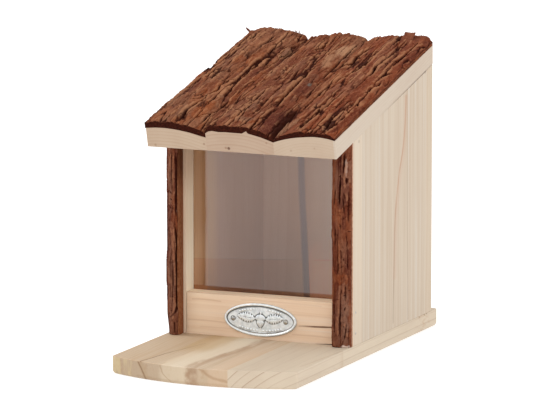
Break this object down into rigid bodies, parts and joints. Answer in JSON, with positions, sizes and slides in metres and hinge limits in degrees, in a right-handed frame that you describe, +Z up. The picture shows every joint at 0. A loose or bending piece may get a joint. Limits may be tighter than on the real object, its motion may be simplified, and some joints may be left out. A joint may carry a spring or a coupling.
{
  "type": "squirrel feeder box",
  "caption": "Wooden squirrel feeder box with a hinged sloping lid of bark-covered slabs, a clear front window, a low front board and a projecting porch.",
  "frame": {"origin": "centre of the whole feeder's footprint, on the underside of the base", "axes": "+Z up, -Y out of the window and the porch, +Y to the hinged back, +X to the right seen from the front"},
  "size_m": [0.1825, 0.344, 0.2708],
  "materials": {
    "pine_base": "planed bare softwood, matt",
    "pine_panel": "planed bare softwood, matt",
    "pine_front": "planed bare softwood, warm, matt",
    "pine_lid": "sawn bare softwood, matt",
    "bark": "natural flaky conifer bark, matt",
    "clear_acrylic": "clear, glossy",
    "zinc_plate": "cast grey metal with a polished rim",
    "plate_pin": "satin",
    "hinge_steel": "zinc plated, satin",
    "screw_steel": "zinc plated, satin"
  },
  "bodies": {
    "box": {"base_stave_left": "pine_base", "base_stave_right": "pine_base", "side_panel_left": "pine_panel", "side_panel_right": "pine_panel", "back_panel": "pine_panel", "front_board": "pine_front", "window_pane": "clear_acrylic", "oval_plate": "zinc_plate", "plate_pins": "plate_pin", "bark_strip_left": "bark", "bark_strip_right": "bark", "hinge_body_leaf_left": "hinge_steel", "hinge_body_leaf_right": "hinge_steel", "hinge_pin_left": "hinge_steel", "hinge_pin_right": "hinge_steel", "base_screws": "screw_steel", "back_screws": "screw_steel", "front_board_nails": "screw_steel", "hinge_body_screws": "screw_steel"},
    "lid": {"lid_slab_left": "pine_lid", "lid_slab_middle": "pine_lid", "lid_slab_right": "pine_lid", "lid_bark_left": "bark", "lid_bark_middle": "bark", "lid_bark_right": "bark", "hinge_lid_leaf_left": "hinge_steel", "hinge_lid_leaf_right": "hinge_steel", "hinge_lid_screws": "screw_steel"}
  },
  "joints": [
    {"name": "lid_hinge", "type": "hinge", "parent": "box", "child": "lid", "pos_m": [0, 0.1596, 0.2453], "axis": [-1, 0, 0], "range_deg": [0, 180]}
  ]
}
